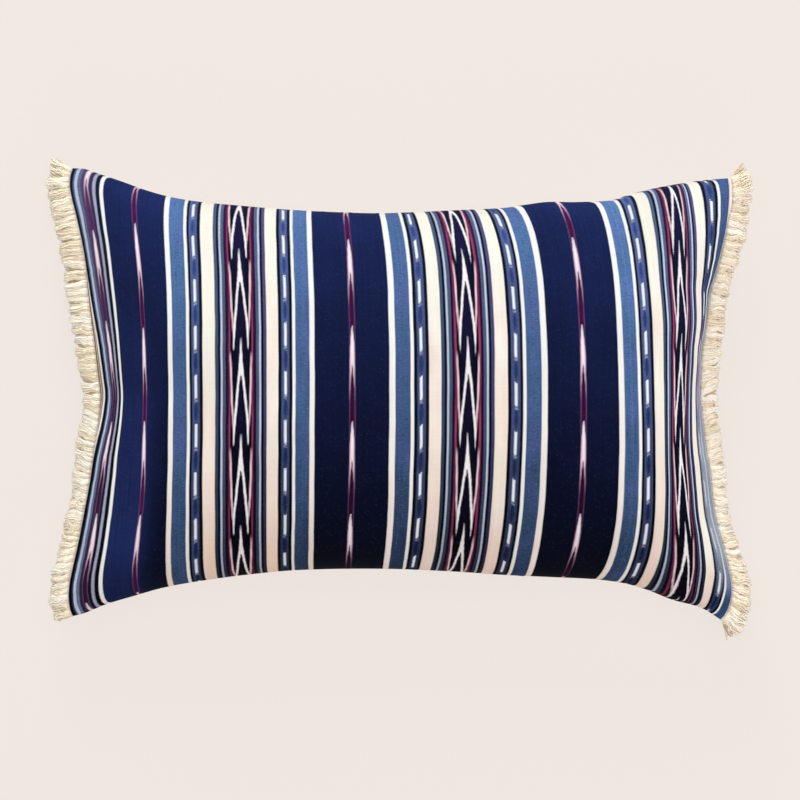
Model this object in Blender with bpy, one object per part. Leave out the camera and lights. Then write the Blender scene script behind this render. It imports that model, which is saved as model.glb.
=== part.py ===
"""A lumbar pillow: one filled cushion with drawn-in sides and a brush fringe in each short seam.

Lengths are in metres and +Z is up. The cushion lies on its back, with its length along X, its
width along Y and the middle of its underside flat on the surface at z = 0.
"""

import math
import random

import bmesh
import bpy
from mathutils import Matrix, Vector

MM = 0.001

# Driving dimensions of the filled cushion
SEAM_HEIGHT = 76 * MM  # the sewn edge above the surface, at the middle of each side
CORNER_HEIGHT = 68 * MM  # the thin corners hang a little lower
FRONT_CROWN = 80 * MM  # the front above its seam
BACK_CROWN = 90 * MM  # the back below its seam, before the surface flattens it
CONTACT_ROUNDING = 8 * MM  # how softly the back turns up around its flat patch
SEAM_THICKNESS = 1.6 * MM  # two layers of cloth, turned in and sewn
# How full the sections are: power, root. A power of 2 and a root of 0.5 give an ellipse, a higher
# power gives a squarer section, and a higher root a sharper edge. The filling sits to the right.
LEFT_FULLNESS = (6.0, 1.2)
RIGHT_FULLNESS = (8.0, 0.72)
WIDTH_FULLNESS = (2.4, 0.53)
COLUMNS = 46
ROWS = 32
EDGE_CROWDING = 0.62  # 0 spaces the columns and rows evenly, 1 crowds them at the seams

# The sewn edge from above, in millimetres from the middle of the pillow
# Long seams: (along the length, across the width)
TOP_SEAM = (
    (-296.5, 207.5), (-286, 207), (-275, 203.2), (-253, 195.8), (-231, 187.8), (-210, 181.8),
    (-183, 177), (-145, 173.3), (-102, 169.6), (-64, 167.5), (-21, 166.2), (6, 167), (50, 169),
    (93, 171.2), (112, 174), (131, 176.5), (158, 176.5), (190, 178.2), (201, 181.8),
    (222, 187.6), (244, 192.2), (271, 196.3), (295.2, 198.5),
)
BOTTOM_SEAM = (
    (-296.5, -197), (-285, -194), (-274, -189.3), (-264, -185.4), (-242, -178.9), (-215, -171.2),
    (-183, -165.2), (-140, -159.3), (-91, -154.8), (-15, -153.7), (50, -156.3), (93, -159.3),
    (136, -161.3), (174, -163.3), (201, -167), (222, -173), (244, -181.8), (271, -189.4),
    (288.5, -200),
)
# Short seams: (across the width, along the length)
LEFT_SEAM = (
    (-197, -296.5), (-190, -299), (-180, -300), (-168, -299.2), (-158, -297.2), (-130, -290.8),
    (-101, -285), (-77, -280.4), (-56, -277.2), (-34, -273.7), (-13, -270.4), (2, -269),
    (23, -271.3), (52, -274.7), (81, -278.7), (95, -280.6), (117, -283.5), (139, -287.2),
    (160, -291.9), (189, -298.8), (200, -298.6), (207.5, -296.5),
)
RIGHT_SEAM = (
    (-200, 288.5), (-196, 292), (-190, 295.2), (-180, 297.8), (-168, 298), (-155, 295.6),
    (-139, 291.5), (-110, 283.3), (-92, 280.3), (-69, 277.8), (-49, 274.4), (-27, 271.8),
    (0, 268.7), (22, 269), (45, 270.2), (60, 272.8), (81, 275.8), (95, 277.5),
    (110, 282.3), (131, 288.1), (153, 293), (175, 295.8), (190, 296.2), (198.5, 295.2),
)

# Soft folds of the front, in millimetres: start x, start y, end x, end y, half width, depth
FRONT_FOLDS = (
    (-268, -2, -205, 2, 15, 3.2),
    (-284, 186, -226, 138, 13, 2.6),
    (-284, -178, -230, -128, 13, 2.4),
    (280, -176, 232, -118, 13, 2.8),
    (262, 168, 236, 104, 11, 2.6),
    (268, 12, 218, 30, 13, 2.4),
    (272, -66, 238, -52, 11, 1.8),
    (112, 160, 104, 122, 14, 1.8),
    (196, 166, 186, 118, 14, 2.0),
)
FOLD_FADE = 0.6  # share of its depth that a fold loses on its way in
FOLD_START = 0.4  # share of the full crown from which the folds have their whole depth

# Unevenness of the filling: waves along the length, waves across, their shift, and the height
FILLING_LUMPS = (
    (1.3, 0.9, 0.5, 1.6 * MM),
    (2.2, 1.4, 2.1, 1.1 * MM),
    (3.6, 2.5, 4.0, 0.6 * MM),
)

# Driving dimensions of the fringe
LOCKS_A_SIDE = 112
LOCK_LENGTH = 26 * MM
TRIM_GAP = 0.3 * MM  # between the cushion's edge and the trim's heading
HEADING_WIDTH = 3.0 * MM
HEADING_THICKNESS = 2.2 * MM
LOCK_SPREAD = 3.4 * MM  # how far neighbouring locks part up and down at their tips
ROOT_SPREAD = 0.4  # share of that spread which they have near the heading
STRAIGHTEST_LOCK = 0.97  # a lock reaches out no further than this share of its length
# Sections of a lock: share of its length, width, thickness, sideways bend
LOCK_SECTIONS = (
    (0.14, 2.2 * MM, 1.5 * MM, 0.0),
    (0.55, 2.3 * MM, 1.5 * MM, 1.0),
    (1.00, 1.0 * MM, 0.8 * MM, -0.4),
)
LOCK_BEND = 0.8 * MM
LENGTH_VARIATION = 0.09
# How far the fringe stands out, in millimetres: share of the seam from its lower end, reach
LEFT_REACH = (
    (0.00, 19.5), (0.09, 20.5), (0.17, 18.5), (0.27, 18.0), (0.36, 20.5), (0.47, 19.5),
    (0.57, 21.0), (0.70, 23.5), (0.84, 23.0), (1.00, 23.5),
)
RIGHT_REACH = (
    (0.00, 24.0), (0.05, 22.0), (0.12, 19.4), (0.18, 16.8), (0.25, 16.4), (0.31, 17.4),
    (0.37, 18.8), (0.44, 18.4), (0.50, 20.0), (0.55, 21.0), (0.62, 20.4), (0.74, 19.8),
    (0.79, 18.8), (0.86, 21.5), (0.94, 22.3), (1.00, 24.5),
)
# Which way the locks are combed, in degrees: share of the seam, lean towards its upper end
LEFT_LEAN = (
    (0.00, 2), (0.05, -8), (0.12, -18), (0.25, 8), (0.40, 6), (0.60, 12), (0.85, 5), (1.00, 8),
)
RIGHT_LEAN = (
    (0.00, -16), (0.06, -16), (0.20, -8), (0.35, 0), (0.45, 18), (0.60, 10), (0.85, 2),
    (0.94, 6), (1.00, 26),
)


def smooth_lookup(table, position):
    """Read a table of positions and values along a smooth curve through its rows."""
    last = len(table) - 1
    index = 0
    while index < last - 1 and position > table[index + 1][0]:
        index += 1

    def slope(row):
        before = table[max(row - 1, 0)]
        after = table[min(row + 1, last)]
        return (after[1] - before[1]) / (after[0] - before[0])

    start = table[index]
    end = table[index + 1]
    span = end[0] - start[0]
    t = min(max((position - start[0]) / span, 0.0), 1.0)
    rise = end[1] - start[1]
    pull_start = slope(index) * span - rise
    pull_end = rise - slope(index + 1) * span
    return start[1] + t * rise + t * (1 - t) * ((1 - t) * pull_start + t * pull_end)


def seam_point(table, share, runs_along_length):
    """A point on one side of the sewn edge, in metres, by its share of that side."""
    first = table[0][0]
    last = table[-1][0]
    position = first + (last - first) * share
    value = smooth_lookup(table, position)
    if runs_along_length:
        return Vector((position * MM, value * MM))
    return Vector((value * MM, position * MM))


def plan_point(s, t):
    """Where a spot of the pillow lies from above: s from left to right, t from bottom to top."""
    bottom = seam_point(BOTTOM_SEAM, s, True)
    top = seam_point(TOP_SEAM, s, True)
    left = seam_point(LEFT_SEAM, t, False)
    right = seam_point(RIGHT_SEAM, t, False)
    corner_00 = seam_point(BOTTOM_SEAM, 0, True)
    corner_10 = seam_point(BOTTOM_SEAM, 1, True)
    corner_01 = seam_point(TOP_SEAM, 0, True)
    corner_11 = seam_point(TOP_SEAM, 1, True)
    between_long = bottom * (1 - t) + top * t
    between_short = left * (1 - s) + right * s
    between_corners = (
        corner_00 * (1 - s) * (1 - t)
        + corner_10 * s * (1 - t)
        + corner_01 * (1 - s) * t
        + corner_11 * s * t
    )
    return between_long + between_short - between_corners


def section(from_middle, fullness):
    """Height of a section at a place from 0 in its middle to 1 at its seam."""
    power, root = fullness
    return max(0.0, 1 - abs(from_middle) ** power) ** root


def bulge(s, t):
    """Share of the full crown at a spot of the pillow."""
    lengthwise = section(2 * s - 1, LEFT_FULLNESS if s < 0.5 else RIGHT_FULLNESS)
    return lengthwise * section(2 * t - 1, WIDTH_FULLNESS)


def seam_height(s, t):
    """The level of the sewn edge, falling towards the four corners."""
    out_along = abs(2 * s - 1)
    out_across = abs(2 * t - 1)
    cornering = (out_along * out_across) ** 2
    return SEAM_HEIGHT + (CORNER_HEIGHT - SEAM_HEIGHT) * cornering


def filling_lumps(s, t):
    """Gentle unevenness of the filling."""
    height = 0.0
    for along, across, shift, size in FILLING_LUMPS:
        wave = math.sin(math.tau * along * s + shift) * math.cos(math.tau * across * t - shift)
        height += size * wave
    return height


def fold_depth(place):
    """How far the soft folds press into the front at a place seen from above."""
    depth = 0.0
    for start_x, start_y, end_x, end_y, half_width, size in FRONT_FOLDS:
        start = Vector((start_x, start_y)) * MM
        run = Vector((end_x, end_y)) * MM - start
        along = min(max((place - start).dot(run) / run.length_squared, 0.0), 1.0)
        off_line = (place - start - run * along).length / (half_width * MM)
        depth += size * MM * (1 - FOLD_FADE * along) * math.exp(-off_line * off_line)
    return depth


def front_height(s, t):
    crown = bulge(s, t)
    folding = min(1.0, crown / FOLD_START)
    relief = filling_lumps(s, t) * crown - fold_depth(plan_point(s, t)) * folding
    return seam_height(s, t) + FRONT_CROWN * crown + relief


def back_height(s, t):
    """The back hangs below its seam, and lies flat where it meets the surface."""
    free = seam_height(s, t) - BACK_CROWN * bulge(s, t)
    if free >= CONTACT_ROUNDING:
        return free
    if free <= -CONTACT_ROUNDING:
        return 0.0
    return (free + CONTACT_ROUNDING) ** 2 / (4 * CONTACT_ROUNDING)  # meets both stretches smoothly


def crowded_shares(count):
    """Shares from 0 to 1, closer together near both ends."""
    shares = []
    for index in range(count + 1):
        even = index / count
        crowded = 0.5 - 0.5 * math.cos(math.pi * even)
        shares.append(even + (crowded - even) * EDGE_CROWDING)
    return shares


def cloth_panel(bm, height_at, lift_at_seam):
    """One panel as a grid of points, its edge moved up or down by half the thickness of the seam."""
    across = crowded_shares(COLUMNS)
    up = crowded_shares(ROWS)
    grid = []
    for t in up:
        row = []
        for s in across:
            place = plan_point(s, t)
            on_edge = s in (across[0], across[-1]) or t in (up[0], up[-1])
            height = seam_height(s, t) + lift_at_seam if on_edge else height_at(s, t)
            row.append(bm.verts.new((place.x, place.y, height)))
        grid.append(row)
    for row in range(ROWS):
        for column in range(COLUMNS):
            corners = (
                grid[row][column],
                grid[row][column + 1],
                grid[row + 1][column + 1],
                grid[row + 1][column],
            )
            bm.faces.new(corners)
    return grid


def rim(grid):
    """The points around a panel, in order."""
    bottom = grid[0]
    right = [row[-1] for row in grid[1:]]
    top = grid[-1][-2::-1]
    left = [row[0] for row in grid[-2:0:-1]]
    return bottom + right + top + left


def add_cushion():
    """The filled cushion: both panels, joined round their edge by the thickness of the seam."""
    bm = bmesh.new()
    front = cloth_panel(bm, front_height, SEAM_THICKNESS / 2)
    back = cloth_panel(bm, back_height, -SEAM_THICKNESS / 2)
    upper = rim(front)
    lower = rim(back)
    for index in range(len(upper)):
        after = (index + 1) % len(upper)
        bm.faces.new((upper[index], upper[after], lower[after], lower[index]))
    return finish_piece(bm, "cushion", striped_cloth())


def trim_stations(side_table, outward):
    """Places along a short seam: edge point, direction along the seam, and direction out of it."""
    rows = crowded_shares(ROWS)
    edge = [seam_point(side_table, t, False) for t in rows]
    lengths = [0.0]
    for before, after in zip(edge, edge[1:]):
        lengths.append(lengths[-1] + (after - before).length)
    stations = []
    segment = 0
    for index in range(LOCKS_A_SIDE + 1):
        distance = lengths[-1] * index / LOCKS_A_SIDE
        while segment < ROWS - 1 and distance > lengths[segment + 1]:
            segment += 1
        part = (distance - lengths[segment]) / (lengths[segment + 1] - lengths[segment])
        place = edge[segment].lerp(edge[segment + 1], part)
        share = rows[segment] + (rows[segment + 1] - rows[segment]) * part
        along = (edge[segment + 1] - edge[segment]).normalized()
        out = Vector((along.y, -along.x)) * outward
        height = seam_height(0 if outward < 0 else 1, share)
        stations.append((place, along, out, height))
    return stations


def heading_sections(bm, stations):
    """The woven heading as a strip of box sections: inner low, inner high, outer high, outer low."""
    sections = []
    for place, _, out, height in stations:
        inner = place + out * TRIM_GAP
        outer = place + out * (TRIM_GAP + HEADING_WIDTH)
        low = height - HEADING_THICKNESS / 2
        high = height + HEADING_THICKNESS / 2
        sections.append([
            bm.verts.new((inner.x, inner.y, low)),
            bm.verts.new((inner.x, inner.y, high)),
            bm.verts.new((outer.x, outer.y, high)),
            bm.verts.new((outer.x, outer.y, low)),
        ])
    return sections


def add_lock(bm, root, station, reach, lean, layer, rng):
    """One lock of yarn, grown from its face of the heading through its sections to its tip.

    Its station is its place on the seam, the directions along and out of the seam, and its level.
    Layer is 1 for a lock that lies high and -1 for one that lies low.
    """
    place, along, out, height = station
    combed_out = out * math.cos(lean) + along * math.sin(lean)
    combed_side = along * math.cos(lean) - out * math.sin(lean)
    length = LOCK_LENGTH * (1 - LENGTH_VARIATION * rng.random())
    level_reach = min(reach, STRAIGHTEST_LOCK * length)
    droop = math.sqrt(length * length - level_reach * level_reach)
    bend = LOCK_BEND * rng.uniform(-1, 1)
    start = place + out * (TRIM_GAP + HEADING_WIDTH)
    run_out = combed_out * (level_reach - HEADING_WIDTH)
    ring = root
    for share, width, thickness, sway in LOCK_SECTIONS:
        flat = start + run_out * share + combed_side * bend * sway
        parting = layer * LOCK_SPREAD * (ROOT_SPREAD + (1 - ROOT_SPREAD) * share) / 2
        level = height + parting - droop * share * share
        half = combed_side * width / 2
        ends = ((flat - half, -thickness / 2), (flat - half, thickness / 2),
                (flat + half, thickness / 2), (flat + half, -thickness / 2))
        new_ring = [bm.verts.new((spot.x, spot.y, level + rise)) for spot, rise in ends]
        join_rings(bm, ring, new_ring)
        ring = new_ring
    bm.faces.new(ring)


def join_rings(bm, ring, new_ring):
    for index in range(4):
        after = (index + 1) % 4
        bm.faces.new((ring[index], ring[after], new_ring[after], new_ring[index]))


def add_fringe(name, side_table, outward, reach_table, lean_table, seed):
    """A length of fringe trim: its heading along the seam, and its locks standing out of it."""
    rng = random.Random(seed)
    bm = bmesh.new()
    stations = trim_stations(side_table, outward)
    sections = heading_sections(bm, stations)
    bm.faces.new(sections[0])
    bm.faces.new(sections[-1])
    for index in range(LOCKS_A_SIDE):
        first = sections[index]
        second = sections[index + 1]
        for corner, after in ((0, 1), (1, 2), (3, 0)):
            bm.faces.new((first[corner], first[after], second[after], second[corner]))
        root = (first[3], first[2], second[2], second[3])
        place, along, out, height = stations[index]
        middle = place.lerp(stations[index + 1][0], 0.5)
        share = (index + 0.5) / LOCKS_A_SIDE
        reach = smooth_lookup(reach_table, share) * MM
        lean = math.radians(smooth_lookup(lean_table, share))
        layer = 1 if index % 2 else -1
        add_lock(bm, root, (middle, along, out, height), reach, lean, layer, rng)
    return finish_piece(bm, name, cream_yarn())


def finish_piece(bm, name, material):
    """Close a mesh into a named object with its faces pointing out."""
    bmesh.ops.recalc_face_normals(bm, faces=bm.faces)
    mesh = bpy.data.meshes.new(name)
    bm.to_mesh(mesh)
    bm.free()
    mesh.shade_smooth()
    mesh.materials.append(material)
    piece = bpy.data.objects.new(name, mesh)
    bpy.context.scene.collection.objects.link(piece)
    return piece


def cloth_material(name, colour, roughness):
    material = bpy.data.materials.new(name)
    material.use_nodes = True
    shader = material.node_tree.nodes["Principled BSDF"]
    shader.inputs["Base Color"].default_value = (*colour, 1.0)
    shader.inputs["Roughness"].default_value = roughness
    shader.inputs["Metallic"].default_value = 0.0
    return material


def striped_cloth():
    """Indigo, the main colour of the striped cotton."""
    return cloth_material("striped_cloth", (0.012, 0.022, 0.075), 0.9)


def cream_yarn():
    """Undyed cotton yarn of the fringe."""
    return cloth_material("cream_yarn", (0.84, 0.77, 0.62), 0.95)


def clear_scene():
    for item in list(bpy.data.objects):
        bpy.data.objects.remove(item, do_unlink=True)


def centre_over_origin(pieces):
    """Shift the finished pieces together, so that the middle of their box is over the origin."""
    spots = [vertex.co for piece in pieces for vertex in piece.data.vertices]
    middle_x = (min(spot.x for spot in spots) + max(spot.x for spot in spots)) / 2
    middle_y = (min(spot.y for spot in spots) + max(spot.y for spot in spots)) / 2
    for piece in pieces:
        piece.data.transform(Matrix.Translation((-middle_x, -middle_y, 0)))


clear_scene()
centre_over_origin([
    add_cushion(),
    add_fringe("fringe_left", LEFT_SEAM, -1, LEFT_REACH, LEFT_LEAN, seed=11),
    add_fringe("fringe_right", RIGHT_SEAM, 1, RIGHT_REACH, RIGHT_LEAN, seed=23),
])
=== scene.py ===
"""Looks of a lumbar pillow: handwoven striped cotton over a soft filling, with a brush fringe in
both short seams.

Lengths are in metres and +Z is up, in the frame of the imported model. Tables are in millimetres
from the middle of the sewn edge, and the pillow lies on its back.
"""

import math
import random

import bpy
import numpy as np
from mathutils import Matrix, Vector


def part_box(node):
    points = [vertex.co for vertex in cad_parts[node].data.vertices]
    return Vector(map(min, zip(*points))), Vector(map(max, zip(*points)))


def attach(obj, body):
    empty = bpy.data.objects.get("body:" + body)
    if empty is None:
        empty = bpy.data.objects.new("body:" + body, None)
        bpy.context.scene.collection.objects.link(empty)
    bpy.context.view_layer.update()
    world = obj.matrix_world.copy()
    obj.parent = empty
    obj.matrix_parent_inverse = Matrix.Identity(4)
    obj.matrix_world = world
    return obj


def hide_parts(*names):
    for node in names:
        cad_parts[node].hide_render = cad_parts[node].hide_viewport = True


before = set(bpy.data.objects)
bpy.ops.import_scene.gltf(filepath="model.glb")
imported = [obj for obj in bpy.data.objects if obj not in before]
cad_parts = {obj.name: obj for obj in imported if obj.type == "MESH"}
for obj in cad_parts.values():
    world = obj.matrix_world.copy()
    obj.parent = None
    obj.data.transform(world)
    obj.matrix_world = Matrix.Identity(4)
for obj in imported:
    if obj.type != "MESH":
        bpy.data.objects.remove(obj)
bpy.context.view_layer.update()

MM = 0.001

# Driving dimensions of the filled cushion, in millimetres
SEAM_HEIGHT = 76
CORNER_HEIGHT = 68
FRONT_CROWN = 80
BACK_CROWN = 90
CONTACT_ROUNDING = 8
SEAM_THICKNESS = 1.6
LEFT_FULLNESS = (6.0, 1.2)
RIGHT_FULLNESS = (8.0, 0.72)
WIDTH_FULLNESS = (2.4, 0.53)

# The sewn edge from above. Long seams: (along the length, across the width)
TOP_SEAM = (
    (-296.5, 207.5), (-286, 207), (-275, 203.2), (-253, 195.8), (-231, 187.8), (-210, 181.8),
    (-183, 177), (-145, 173.3), (-102, 169.6), (-64, 167.5), (-21, 166.2), (6, 167), (50, 169),
    (93, 171.2), (112, 174), (131, 176.5), (158, 176.5), (190, 178.2), (201, 181.8),
    (222, 187.6), (244, 192.2), (271, 196.3), (295.2, 198.5),
)
BOTTOM_SEAM = (
    (-296.5, -197), (-285, -194), (-274, -189.3), (-264, -185.4), (-242, -178.9), (-215, -171.2),
    (-183, -165.2), (-140, -159.3), (-91, -154.8), (-15, -153.7), (50, -156.3), (93, -159.3),
    (136, -161.3), (174, -163.3), (201, -167), (222, -173), (244, -181.8), (271, -189.4),
    (288.5, -200),
)
# Short seams: (across the width, along the length)
LEFT_SEAM = (
    (-197, -296.5), (-190, -299), (-180, -300), (-168, -299.2), (-158, -297.2), (-130, -290.8),
    (-101, -285), (-77, -280.4), (-56, -277.2), (-34, -273.7), (-13, -270.4), (2, -269),
    (23, -271.3), (52, -274.7), (81, -278.7), (95, -280.6), (117, -283.5), (139, -287.2),
    (160, -291.9), (189, -298.8), (200, -298.6), (207.5, -296.5),
)
RIGHT_SEAM = (
    (-200, 288.5), (-196, 292), (-190, 295.2), (-180, 297.8), (-168, 298), (-155, 295.6),
    (-139, 291.5), (-110, 283.3), (-92, 280.3), (-69, 277.8), (-49, 274.4), (-27, 271.8),
    (0, 268.7), (22, 269), (45, 270.2), (60, 272.8), (81, 275.8), (95, 277.5),
    (110, 282.3), (131, 288.1), (153, 293), (175, 295.8), (190, 296.2), (198.5, 295.2),
)
LOWEST_TABLE_CORNER = (-299.97, -200)  # where the cushion's box starts in the tables

# Soft folds of the front: start x, start y, end x, end y, half width, depth
FRONT_FOLDS = (
    (-268, -2, -205, 2, 15, 3.2),
    (-284, 186, -226, 138, 13, 2.6),
    (-284, -178, -230, -128, 13, 2.4),
    (280, -176, 232, -118, 13, 2.8),
    (262, 168, 236, 104, 11, 2.6),
    (268, 12, 218, 30, 13, 2.4),
    (272, -66, 238, -52, 11, 1.8),
    (112, 160, 104, 122, 14, 1.8),
    (196, 166, 186, 118, 14, 2.0),
)
FOLD_FADE = 0.6
FOLD_START = 0.4
# Unevenness of the filling: waves along, waves across, their shift, and the height
FILLING_LUMPS = ((1.3, 0.9, 0.5, 1.6), (2.2, 1.4, 2.1, 1.1), (3.6, 2.5, 4.0, 0.6))

# The woven cloth, measured flat, in millimetres
CLOTH_WIDTH = 611.0
SMALL_GROUP_EDGE = 35.0
GROUP_CENTRES = (162.0, 357.0, 550.5)
LENS_CENTRES = (65.5, 259.5, 453.75)
# The stretches of cloth between these middles differ a little in dye, in painted warm shade and in
# the repeat's level
STRETCH_EDGES = (
    GROUP_CENTRES[0], LENS_CENTRES[1], GROUP_CENTRES[1], LENS_CENTRES[2], GROUP_CENTRES[2],
)
# How much of the first stripe the left seam takes in: share of the seam, cut
LEFT_SEAM_CUT = (
    (0.00, 3.8), (0.34, 3.8), (0.44, 0.4), (0.55, 0.0), (0.65, 1.2), (0.80, 3.8), (1.00, 3.8),
)

# Where named warp lines lie: place in the flat cloth, x at the bottom seam, middle and top seam
WARP_LINES = (
    (0, -299.5, -269, -298.8),  # left seam
    (35, -266.4, -248.8, -265.5),  # first dark band starts
    (96, -209.3, -203.2, -211.5),  # and ends
    (128.7, -174.9, -172.0, -178.6),  # first group, left wide white
    (139.7, -164.1, -160.4, -166.9),
    (184.3, -119.7, -116.2, -122.6),  # its right wide white
    (195.3, -110.0, -105.7, -111.7),
    (228, -78.3, -74.2, -80.3),  # second dark band starts
    (291, -16.5, -9.7, -19.7),  # and ends
    (323.7, 15.4, 24.3, 10.8),  # second group, left wide white
    (334.7, 25.6, 35.4, 20.3),
    (379.3, 71.4, 81.3, 64.8),  # its right wide white
    (390.3, 81.5, 93.4, 73.2),
    (423, 115.4, 127.6, 104.7),  # third dark band starts
    (484.5, 174.0, 189.6, 171.5),  # and ends
    (517.2, 213.0, 222.3, 208.2),  # third group, left wide white
    (528.2, 222.0, 231.2, 219.4),
    (550.5, 256.0, 244.8, 242.8),  # its middle
    (572.8, 274.4, 257.4, 258.3),  # its right wide white
    (583.8, 281.3, 261.3, 268.6),
    (595.6, 290.9, 265.2, 283.1),  # the thin white beyond it
    (599.0, 293.0, 266.2, 286.5),
    (611, 298.5, 268.7, 296.2),  # right seam
)
# How the warp lines bend towards their ends: place in the flat cloth, then how far from the seam
# and how suddenly, at the top and at the bottom
WARP_BENDS = (
    (60, 100, 3.0, 100, 3.0),
    (190, 95, 2.0, 95, 1.6),
    (330, 65, 1.4, 64, 1.4),
    (400, 66, 1.3, 78, 1.4),
    (480, 70, 1.1, 50, 1.4),
    (517, 127, 1.6, 56, 2.0),
    (530, 127, 1.6, 56, 2.0),
    (550, 100, 1.2, 80, 1.3),
    (573, 88, 1.6, 66, 1.7),
    (585, 90, 1.8, 70, 1.8),
    (611, 90, 2.2, 80, 2.0),
)
# How the warp lines swing close to the corners, where the seams turn: place in the flat cloth,
# then the swing at the top seam and at the bottom seam
END_SWINGS = (
    (0, 0, 0), (9, 2.5, 2.5), (35, 4.5, 6), (60, 3, 3), (100, 0, 0), (470, 0, 0),
    (517, -6, -3.5), (528, -9, -5), (550, -6, -10), (573, -4, -5), (584, -5, -2.5),
    (600, -7, -2), (611, 0, 0),
)
TOP_SWING_REACH = 9
BOTTOM_SWING_REACH = 18
# How the first and last lines sway between the ends: level over the middle, sway, then the places
EARLY_SWAY = (
    (-205, 0), (-165, 0), (-146, 0.6), (-120, 2.4), (-92, 3.4), (-38, 2.9), (0, 2.0), (35, 1.4),
    (61, 0.4), (90, 0), (205, 0),
)
EARLY_PLACES = ((0, 0), (6, 1), (35, 1), (96, 0), (611, 0))
LATE_SWAY = (
    (-205, 0), (-160, 0), (-137, 1.6), (-110, 1.4), (-92, 0), (-74, -0.7), (-56, -2.1),
    (-38, -2.7), (-20, -1.9), (0, 0.6), (25, 2.2), (52, 3.0), (88, 0.4), (120, 0), (205, 0),
)
LATE_PLACES = (
    (0, 0), (505, 0), (530, 0.35), (550, 0.7), (567, 1), (584, 1), (600, 0.6), (611, 0),
)
LEFT_SEAM_PULL = 35  # how far into the cloth the shape of the left seam is felt
RIGHT_SEAM_PULL = 40

# Mesh of each panel
COLUMNS = 250
ROWS = 168
EDGE_CROWDING = 0.45
FRONT_SEED = 5
BACK_SEED = 9

# Driving dimensions of the fringe, in millimetres
FRINGE_LENGTH = 26
TRIM_GAP = 0.3
HEADING_WIDTH = 1.6
HEADING_THICKNESS = 0.6
HEADING_STATIONS = 160
CLUMPS_A_SIDE = 68
STRANDS_A_CLUMP = 34
UNDER_STRANDS = 1400  # an even lower layer, seen only in the cracks between the clumps
UNDER_DROP = 1.3  # how far it lies below the clumps
STRAND_WIDTH = 0.95
STRAND_FLATNESS = 0.55  # height of a strand against its width
STRAND_RINGS = 9
STRAND_SIDES = 3
CLUMP_OVERLAP = 1.12  # width of a clump against its share of the seam
CLUMP_ARCH = 1.5  # how far the middle of a clump stands over its edges
# How far the fringe stands out: share of the seam from its lower end, reach
LEFT_REACH = (
    (0.00, 19.5), (0.09, 20.5), (0.17, 18.5), (0.27, 18.0), (0.36, 20.5), (0.47, 19.5),
    (0.57, 21.0), (0.70, 23.5), (0.84, 23.0), (1.00, 23.5),
)
RIGHT_REACH = (
    (0.00, 24.0), (0.05, 22.0), (0.12, 19.4), (0.18, 16.8), (0.25, 16.4), (0.31, 17.4),
    (0.37, 18.8), (0.44, 18.4), (0.50, 20.0), (0.55, 21.0), (0.62, 20.4), (0.74, 19.8),
    (0.79, 18.8), (0.86, 21.5), (0.94, 22.3), (1.00, 24.5),
)
# How far the heading shows between the cloth and the strands: share of the seam, width
# on the left, the shown heading is a brown strip painted as the shadow line between cloth and
# strands
LEFT_HEADING = (
    (0.00, 0.0), (0.42, 0.0), (0.50, 1.1), (0.68, 1.1), (0.78, 0.0), (1.00, 0.0),
)
RIGHT_HEADING = (
    (0.00, 0.0), (0.90, 0.0), (0.94, 2.2), (0.99, 2.2), (1.00, 1.8),
)
# Stretches of the seam where some strands are warmer and browner: first share, last share
LEFT_WARM = ((0.18, 0.26), (0.76, 0.86))
RIGHT_WARM = ((0.06, 0.95),)
WARM_SHARE = 0.16  # of the strands there
# Which way the strands are combed, in degrees: share of the seam, lean towards its upper end
LEFT_LEAN = (
    (0.00, 2), (0.05, -8), (0.12, -18), (0.25, 8), (0.40, 6), (0.60, 12), (0.85, 5), (1.00, 8),
)
RIGHT_LEAN = (
    (0.00, -16), (0.06, -16), (0.20, -8), (0.35, 0), (0.45, 18), (0.60, 10), (0.85, 2),
    (0.94, 6), (1.00, 26),
)

# Colours, as they look in daylight
NIGHT = "080a1e"
NAVY = "0f183b"
BLACK = "090f22"
WHITE = "f6f1e8"
PEACH_WHITE = "f5e4d8"
# painted warm shade of the whites towards the bottom of the pillow
PAINTED_WARM_WHITE = "f5dec9"
PAINTED_WARM_PINK = "f4dfd6"
THIN_WHITE = "f2f4f2"
GREEN_WHITE = "eef4e6"
DENIM = "42608a"
VIOLET_DENIM = "4f639a"
PALE_BLUE = "c0cbe4"
SLATE = "3f4d66"
SLATE_PURPLE = "45436a"
SLATE_BLUE = "4a5572"
STRIP_BLUE = "4a5279"
GAP_BLUE = "405486"
LENS_BLUE = "262f60"
CRIMSON = "9c4066"
MAROON = "360f36"
PURPLE = "6a3a6a"
LENS_DARK = "3a0c34"
LENS_PINK = "e4bcd4"
PINK_WHITE = "eccdd8"
IKAT_WHITE = "f4f0f4"
DASH_WHITE = "e4effa"
DULL_CRIMSON = "5a3a56"
FADED = "a4adb9"
FADED_VIOLET = "9590b0"
CHEVRON_CORE = "17133a"
SMALL_LENS_DARK = "38203e"
FLECK_BLUE = "3a4868"
# brown of the left heading, a painted shadow line between the cloth and the fringe
HEADING_PAINTED_SHADOW = "6e5a4c"
HEADING_PINK = "f6e4e2"

# Stripes of a group: distance from its middle where a stripe starts, colour
GROUP_STRIPES = (
    (0.0, NIGHT), (9.3, CRIMSON), (10.8, MAROON), (12.3, NIGHT), (13.3, SLATE_BLUE),
    (15.9, PALE_BLUE), (17.6, BLACK), (19.8, SLATE), (22.5, WHITE), (33.0, BLACK),
    (35.8, STRIP_BLUE), (43.0, BLACK), (45.6, THIN_WHITE), (48.2, DENIM), (61.1, THIN_WHITE),
    (65.8, NAVY),
)
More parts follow.
